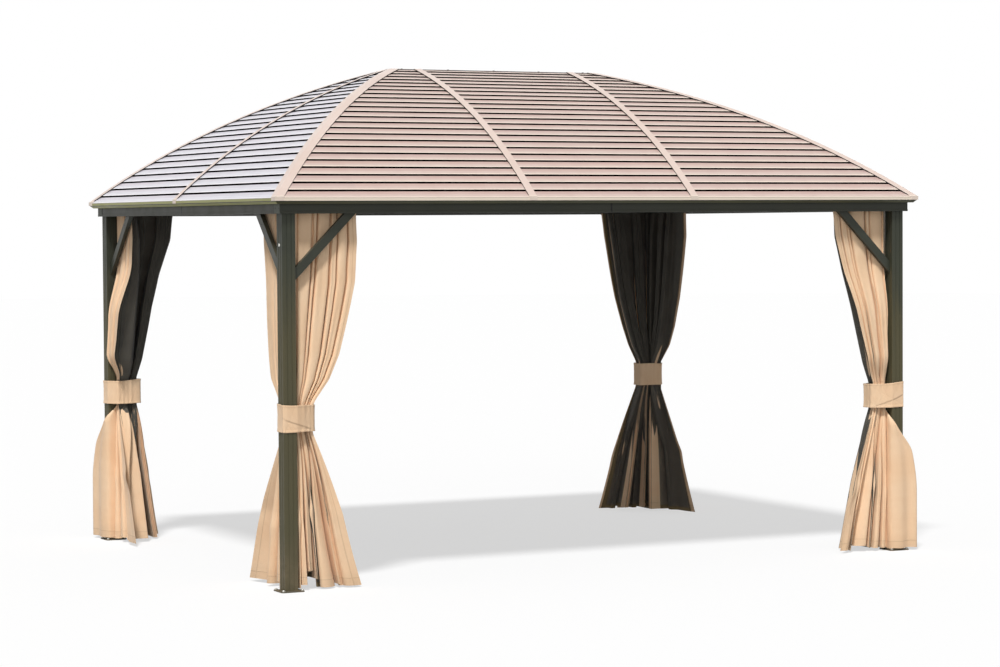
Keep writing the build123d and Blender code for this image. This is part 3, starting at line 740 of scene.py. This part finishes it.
def folds(draw, name, height, openings, lifts, over_post, puffed, fuller):
    """The folds of one wing of a curtain at each height, as the corners of a line from its free edge
    to the post. A corner has its place along the wing and across it, its depth in the fold, how far
    the netting shows in front there, and the lift of the hem. Below the tie a wing may end in a lobe
    that goes round the outside of the post."""
    skirt = smooth_step(tie_foot - 0.03 - height, 0.0, 0.45)
    below_tie = smooth_step(tie_foot + 0.13 - height, 0.0, 0.12)
    waist = np.exp(-((height - tie_middle) / 0.20) ** 2)
    edge = at_height(reaches[name], height) + at_height(fuller, height) - 0.004
    edge = edge - 0.005 * (1 + np.sin(7 * height + draw.uniform(0, 6)))
    length = edge - near_post
    widths = []
    for at_rail, at_hem in zip(*fold_widths[name]):
        at_rail, at_hem = at_rail * draw.uniform(0.75, 1.3), at_hem * draw.uniform(0.8, 1.25)
        wander = 1 + 0.15 * np.sin(height * draw.uniform(1.5, 4) + draw.uniform(0, 6))
        widths.append((at_rail + (at_hem - at_rail) * skirt) * wander)
    widths = np.array(widths) / sum(widths) * length
    line = []

    def corner(from_edge, depth, shows, lift):
        along = np.maximum(edge - from_edge, near_post)
        depth = np.clip(depth, 0.0, 1.0) + 0 * height
        across = across_wing(along, depth, height, puffed)
        line.append([along, across, depth, shows * below_tie, lift + 0 * height])

    start = 0 * height
    for number, width in enumerate(widths):
        lift = lifts.get((name, number), draw.uniform(0, 0.012))
        lean = draw.uniform(-1, 1) * (0.08 + 0.30 * skirt)
        lean = lean * (1 + 0.4 * np.sin(3 * height + draw.uniform(0, 6)))
        hollow = 0.07 * np.sin(height * draw.uniform(4, 8) + draw.uniform(0, 6)) * (1 - waist)
        gap = 0.03 + draw.uniform(0.02, 0.16) * skirt
        first = number == 0
        lean = np.abs(lean) if first else lean
        for place, depth in (
            (0.0 if first else gap, 0.02 if first else 0.15), (0.20, 0.02), (0.5, 0.03 + hollow),
            (0.80, 0.02), (1 - gap, 0.15),
        ):
            leaning = np.abs(lean) * np.where(lean > 0, place, 1 - place)
            corner(start + width * place, depth + leaning, 0.0, lift)
        start = start + width
        if number < len(widths) - 1:
            deep_at_rail, deep_at_hem = (depths[number] for depths in fold_depths[name])
            deep = deep_at_rail + (deep_at_hem - deep_at_rail) * skirt
            deep = deep * (0.94 + 0.06 * np.sin(height * draw.uniform(2, 6) + draw.uniform(0, 6)))
            hidden = 0.32 + 0.05 * draw.uniform(-1, 1) + 0.52 * skirt
            low = start - np.minimum(0.42 * width, 0.018)
            high = start + np.minimum(0.42 * widths[number + 1], 0.018)
            shows = openings.get((name, number), 0.0)
            for place, depth in (
                (0, 1), (1, 1), (1, hidden), (2, hidden), (2, 1),
                (3, 1), (3, hidden), (4, hidden), (4, 1), (5, 1),
            ):
                corner(low + (high - low) * place / 5, deep * depth, shows, lift)
    line.append([near_post + 0 * height, 0.9 * near_post + 0 * height, 0 * height, 0 * height, 0 * height])
    if over_post:
        out = smooth_step(tie_foot + 0.005 - height, 0.0, 0.10)
        over = smooth_step(tie_foot - 0.04 - height, 0.0, 0.22) * (1 + 0.5 * skirt)
        last = line.pop()
        flat = across_wing(lobe_root + 0 * height, 0.0, height, 0.0)
        for beside, beyond, across, flare, depth in lobe_line:
            along = (beside - lobe_root) * out + lobe_root - beyond * over * over_post
            line.append([
                along, flat + (across + flare * skirt - flat) * out, depth + 0 * height,
                0 * height, draw.uniform(0, 0.01) + 0 * height,
            ])
        line.append(last)
    return np.array(line)


def gathered(seed, samples, openings, lifts, over_post, puffed, fuller):
    """The cloth of a curtain: its places from the post's inner corner, heights, depths in the folds
    and shares of the panel's width, by rows from the rail to the hem."""
    level = np.linspace(heights[0], hem_height, cloth_rows)
    side, end = (
        folds(
            np.random.default_rng(seed + more), name, level, openings, lifts, over_post.get(name, 0.0),
            puffed.get(name, 0.0), fuller.get(name, [0.0] * len(heights)),
        ) for name, more in (("side", 0), ("end", 50))
    )
    end = end[::-1, [1, 0, 2, 3, 4]]
    line = np.concatenate([side[:1], side, end, end[-1:]])
    before, here, after = line[:-2, None], line[1:-1, None], line[2:, None]
    step = (np.arange(samples) / samples)[None, :, None, None]
    curve = ((1 - step) ** 2 * before + (1 + 2 * step - 2 * step * step) * here + step * step * after) / 2
    curve = np.concatenate([curve.reshape(-1, *line.shape[1:]), (line[-1:] + line[-2:-1]) / 2])
    x, y, depth, shows, lift = curve.transpose(1, 2, 0)
    hem = hem_height + lift[-1]
    height = heights[0] + (hem - heights[0]) * np.linspace(0, 1, cloth_rows)[:, None]
    row = (heights[0] - height) / (heights[0] - hem_height) * (cloth_rows - 1)
    upper = np.minimum(row.astype(int), cloth_rows - 2)
    part = row - upper

    def at_row(values):
        above = np.take_along_axis(values, upper, 0)
        return above + (np.take_along_axis(values, upper + 1, 0) - above) * part

    x, y, depth, shows = (at_row(values) for values in (x, y, depth, shows))
    steps = np.hypot(np.diff(x, axis=1), np.diff(y, axis=1)).mean(0)
    share = np.concatenate([[0], np.cumsum(steps)]) / steps.sum()
    return x, y, height, depth, shows, share[None, :] + 0 * x


def ripple(draw, first, second):
    """A gentle random field over two directions: a few long waves, about -1 to 1."""
    waves = [
        np.sin(first * draw.uniform(0.3, 1) + second * draw.uniform(-0.6, 0.6) + draw.uniform(0, 6))
        for _ in range(4)
    ]
    return sum(waves) / 2


def cloth_mesh(name, points, flat_places, finish):
    """A piece of cloth from a grid of points, laid out flat in metres for its weave."""
    rows_down, rows_across = points.shape[:2]
    index = np.arange(rows_down * rows_across).reshape(rows_down, rows_across)
    quads = np.stack([index[:-1, :-1], index[1:, :-1], index[1:, 1:], index[:-1, 1:]], -1).reshape(-1, 4)
    data = bpy.data.meshes.new(name)
    data.from_pydata(points.reshape(-1, 3).tolist(), [], quads.tolist())
    layout = data.uv_layers.new(name="flat")
    layout.data.foreach_set("uv", flat_places.reshape(-1, 2)[quads.reshape(-1)].astype(np.float32).ravel())
    data.materials.append(finish)
    data.shade_smooth()
    made = bpy.data.objects.new(name, data)
    bpy.context.scene.collection.objects.link(made)
    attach(made, "root")
    return made


def outward_signs(corner):
    """The way out of the gazebo at a corner, along x and along y."""
    return -1 if "left" in corner else 1, -1 if "front" in corner else 1


def hang(name, number, behind, trimmed, finish, lobes, drawn_in=0.0):
    """Hang a curtain, or its netting a little behind it, round the inside of a post. Its free edges
    may be trimmed, and it may be drawn in towards the post below the tie."""
    corner = corners[number]
    x, y, height, depth, shows, share = gathered(
        fold_seed + 7 * number, 3, openings[corner], hem_lifts[corner], lobes, puffed[corner],
        fuller[corner],
    )
    inward_x, inward_y = np.gradient(y, axis=1), -np.gradient(x, axis=1)
    size = np.hypot(inward_x, inward_y) + 1e-9
    draw = np.random.default_rng(dent_seed + number)
    dents = ripple(draw, 70 * share, 24 * height)
    crumples = ripple(draw, 170 * share, 45 * height)
    knees = np.exp(-((height - knee_height - 0.05 * np.sin(40 * share)) / 0.05) ** 2)
    waist = np.exp(-((height - tie_middle) / 0.17) ** 2)
    inward = dent_depth * dents + knee_depth * knees * dents + crumple_depth * waist * crumples
    inward = (1 - depth) ** 2 * inward
    inward = inward + behind * (1 - 0.65 * waist) * (1 - 2.2 * shows)
    x, y = x + inward_x / size * inward, y + inward_y / size * inward
    tight = drawn_in * smooth_step(tie_foot - height, -0.04, 0.26)
    x, y = (place + (bundle_middle - place) * tight for place in (x, y))
    across_x, across_y = outward_signs(corner)
    points = np.stack([across_x * (post_inner_x - x), across_y * (post_inner_y - y), height], -1)
    down = np.linspace(1, 0, len(points))[:, None]
    flat_places = np.stack([share * panel_width, down * cloth_drop + 0 * share], -1)
    kept = slice(trimmed, points.shape[1] - trimmed)
    points, flat_places = points[:, kept], flat_places[:, kept]
    if across_x * across_y < 0:
        points, flat_places = points[:, ::-1], flat_places[:, ::-1]
    made = cloth_mesh(name, points, flat_places, finish)
    return made


fold_seed, dent_seed = 11, 200
dent_depth, knee_depth, crumple_depth = 0.0024, 0.008, 0.0030
knee_height, bundle_middle = 0.36, 0.035
# The corners differ in the folds whose hem is lifted, the folds where netting shows in front, how
# far a wing is puffed out, how much fuller it is at each height, and how far it goes over the post.
hem_lifts = {
    "front_left": {("side", 3): 0.045, ("side", 4): 0.090, ("side", 5): 0.020, ("end", 2): 0.030},
    "front_right": {("side", 2): 0.024, ("end", 1): 0.020},
    "back_left": {("side", 4): 0.026, ("end", 2): 0.020},
    "back_right": {("side", 1): 0.018, ("side", 4): 0.026},
}
openings = {
    "front_left": {("side", 2): 1.0, ("side", 3): 1.0, ("end", 1): 0.9, ("end", 2): 1.0},
    "front_right": {("side", 1): 0.9, ("side", 4): 1.0},
    "back_left": {},
    "back_right": {("side", 1): 1.0, ("side", 3): 0.9, ("end", 1): 1.0},
}
puffed = {
    "front_left": {}, "front_right": {"side": 0.045}, "back_left": {"end": 0.070, "side": 0.020},
    "back_right": {},
}
fuller = {
    "front_left": {
        "side": [0.0, 0.006, 0.042, 0.058, 0.074, 0.062, 0.012, 0.0, 0.0, -0.010],
        "end": [0.085, 0.085, 0.170, 0.165, 0.155, 0.140, 0.030, 0.0, 0.020, 0.010],
    },
    "front_right": {"side": [-0.006, -0.020, -0.020, -0.012, 0.0, 0.010, 0.0, 0.0, -0.010, -0.020]},
    "back_left": {
        "side": [-0.012, -0.035, -0.065, -0.050, -0.020, 0.0, 0.0, 0.0, -0.060, -0.115],
        "end": [0.060, 0.075, 0.160, 0.150, 0.135, 0.110, 0.025, 0.0, 0.0, 0.0],
    },
    "back_right": {
        "side": [0.0, -0.020, -0.010, 0.010, 0.020, 0.020, 0.0, 0.0, 0.0, 0.0],
        "end": [0.200, 0.200, 0.270, 0.240, 0.190, 0.130, 0.020, 0.0, 0.0, 0.0],
    },
}
over_post = {
    "front_left": {}, "front_right": {"side": 0.095}, "back_left": {"end": 0.125}, "back_right": {},
}
for number, corner in enumerate(corners):
    curtain = hang(f"curtain_cloth_{corner}", number, 0.0, 0, cloth_finish, over_post[corner])
    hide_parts(f"curtain_{corner}")

# Netting: a charcoal insect net that hangs on the inner track, just inside each curtain and in
# the same folds. It is knitted polyester with a narrow sewn edge. At the back left it falls
# straight from the tie, hidden by the cloth.
net_finish, tree, shader = material("insect_net")
cut = put(tree, "UVMap").outputs[0]
across = put(tree, "SeparateXYZ", {0: cut})
holes_a_metre = 520.0
cell_x, cell_y = (
    work(tree, "ABSOLUTE", work(tree, "SINE", work(tree, "MULTIPLY", way, math.pi * holes_a_metre)))
    for way in (across.outputs[0], across.outputs[1])
)
hole = spread(tree, work(tree, "MINIMUM", cell_x, cell_y), 0.72, 0.84)
from_edge = work(tree, "MINIMUM", across.outputs[0], work(tree, "SUBTRACT", panel_width, across.outputs[0]))
taped = spread(tree, work(tree, "MINIMUM", from_edge, across.outputs[1]), 0.026, 0.022)
patchy = spread(tree, noise(tree, cut, 7.0, 4.0), 0.3, 0.7)
tree.links.new(
    blend(tree, taped, blend(tree, patchy, srgb(66, 64, 58), srgb(84, 81, 73)), srgb(104, 88, 58)),
    shader.inputs["Base Color"],
)
open_share = put(tree, "MapRange", {0: across.outputs[1], 1: 0.85, 2: 0.40, 3: 0.55, 4: 0.95}).outputs[0]
tree.links.new(
    work(tree, "MAXIMUM", work(tree, "SUBTRACT", 1.0, work(tree, "MULTIPLY", hole, open_share)), taped),
    shader.inputs["Alpha"],
)
shader.inputs["Roughness"].default_value = 0.8
shader.inputs["Sheen Weight"].default_value = 0.08
net_trim = 4
for number, corner in enumerate(corners):
    if corner == "back_left":
        hang(f"netting_{corner}", number, 0.006, net_trim, net_finish, {}, drawn_in=0.5)
    else:
        hang(f"netting_{corner}", number, 0.003, net_trim, net_finish, over_post[corner])

# Ties: a strip of the curtain's own cloth drawn tight round each post and curtain and fastened to
# itself. It is hemmed along both edges, creased, and folded over in a slanting tuck at the front.
tie_top, tie_inset, tie_slack, tie_width = 0.980, 0.004, 0.0012, 0.15
tie_rows, tie_columns, tie_seed = 45, 301, 300
post_side, back = 0.075, 0.034
tie_outline = [
    ((-post_side, -post_side), 0.004), ((0.0, -post_side), 0.005), ((0.115, -back), 0.014),
    ((0.115, 0.050), 0.016), ((0.050, 0.062), 0.016), ((-back, 0.062), 0.012), ((-post_side, 0.0), 0.005),
]
tie_finish = cloth_finish.copy()
tie_finish.name = "tie_cloth"


def round_path(outline, slack, count):
    """Evenly spaced points of a convex outline with rounded corners, drawn out by some slack, and
    the outward directions there."""
    spots = [np.array(spot) for spot, _ in outline]
    rounded = []
    for number, (spot, radius) in enumerate(outline):
        spot = np.array(spot)
        before = spots[number - 1] - spot
        after = spots[(number + 1) % len(spots)] - spot
        before, after = before / np.hypot(*before), after / np.hypot(*after)
        half_angle = math.acos(np.clip(before @ after, -1, 1)) / 2
        middle = (before + after) / np.hypot(*(before + after))
        centre = spot + middle * radius / math.sin(half_angle)
        start = math.atan2(*(spot + before * radius / math.tan(half_angle) - centre)[::-1])
        stop = math.atan2(*(spot + after * radius / math.tan(half_angle) - centre)[::-1])
        swing = (stop - start + math.pi) % (2 * math.pi) - math.pi
        for step in np.linspace(0, 1, 9):
            angle = start + swing * step
            away = np.array((math.cos(angle), math.sin(angle)))
            rounded.append(centre + away * (radius + slack))
    rounded.append(rounded[0])
    rounded = np.array(rounded)
    lengths = np.concatenate([[0], np.cumsum(np.hypot(*np.diff(rounded, axis=0).T))])
    places = np.linspace(0, lengths[-1], count)
    path = np.stack([np.interp(places, lengths, rounded[:, axis]) for axis in (0, 1)], -1)
    ahead = np.roll(path[:-1], -1, 0) - np.roll(path[:-1], 1, 0)
    ahead = np.concatenate([ahead, ahead[:1]])
    outward = np.stack([ahead[:, 1], -ahead[:, 0]], -1) / np.hypot(*ahead.T)[:, None]
    return path, outward, places


for number, corner in enumerate(corners):
    draw = np.random.default_rng(tie_seed + number)
    path, outward, places = round_path(tie_outline, tie_slack, tie_columns)
    ring = places / places[-1]
    rise = np.linspace(0, 1, tie_rows)[:, None]
    around = ring[None, :] * 2 * np.pi
    waver = 0.0025 * np.sin(around + draw.uniform(0, 6)) + 0.0015 * np.sin(3 * around + draw.uniform(0, 6))
    tilt = 0.004 * np.sin(around + draw.uniform(0, 6))
    level = tie_foot + tie_inset + (tie_top - tie_foot - 2 * tie_inset) * rise
    height = level + waver * (0.4 + 0.6 * rise) + tilt * rise
    rolls = np.exp(-((rise - 0.035) / 0.035) ** 2) + np.exp(-((rise - 0.965) / 0.035) ** 2)
    tuck_line = 0.46 - 1.35 * (ring[None, :] - 0.02)
    tuck = smooth_step(rise - tuck_line, -0.02, 0.03) * smooth_step(ring[None, :], 0.0, 0.04)
    tuck = tuck * (1 - smooth_step(ring[None, :], 0.30, 0.36))
    creases = 0.0
    for _ in range(3):
        slant = ring * draw.uniform(3, 9) + rise * draw.uniform(-1.6, 1.6)
        creases = creases + smooth_step(np.abs(np.sin(slant * np.pi + draw.uniform(0, 6))), 0.0, 0.25)
    creases = creases / 3
    puckers = 0.5 + 0.5 * np.sin(around * 17 + 2.2 * np.sin(around * 3) + draw.uniform(0, 6))
    puckers = puckers * (0.35 + 0.65 * np.abs(2 * rise - 1) ** 1.5) * smooth_step(ring[None, :], 0.14, 0.22)
    out = 0.0006 + 0.0016 * rolls + 0.0034 * tuck + 0.0018 * creases + 0.0026 * puckers
    spots = path[None, :, :] + outward[None, :, :] * out[:, :, None]
    across_x, across_y = outward_signs(corner)
    points = np.stack([
        across_x * (post_inner_x - spots[..., 0]), across_y * (post_inner_y - spots[..., 1]),
        height + 0 * spots[..., 0],
    ], -1)
    flat_places = np.stack([
        ring[None, :] * places[-1] + 0.4 + 0 * rise, 0.5 + rise * tie_width + 0 * ring[None, :],
    ], -1)
    if across_x * across_y > 0:
        points, flat_places = points[:, ::-1], flat_places[:, ::-1]
    tie = cloth_mesh(f"tie_cloth_{corner}", points, flat_places, tie_finish)
    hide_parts("curtain_ties")
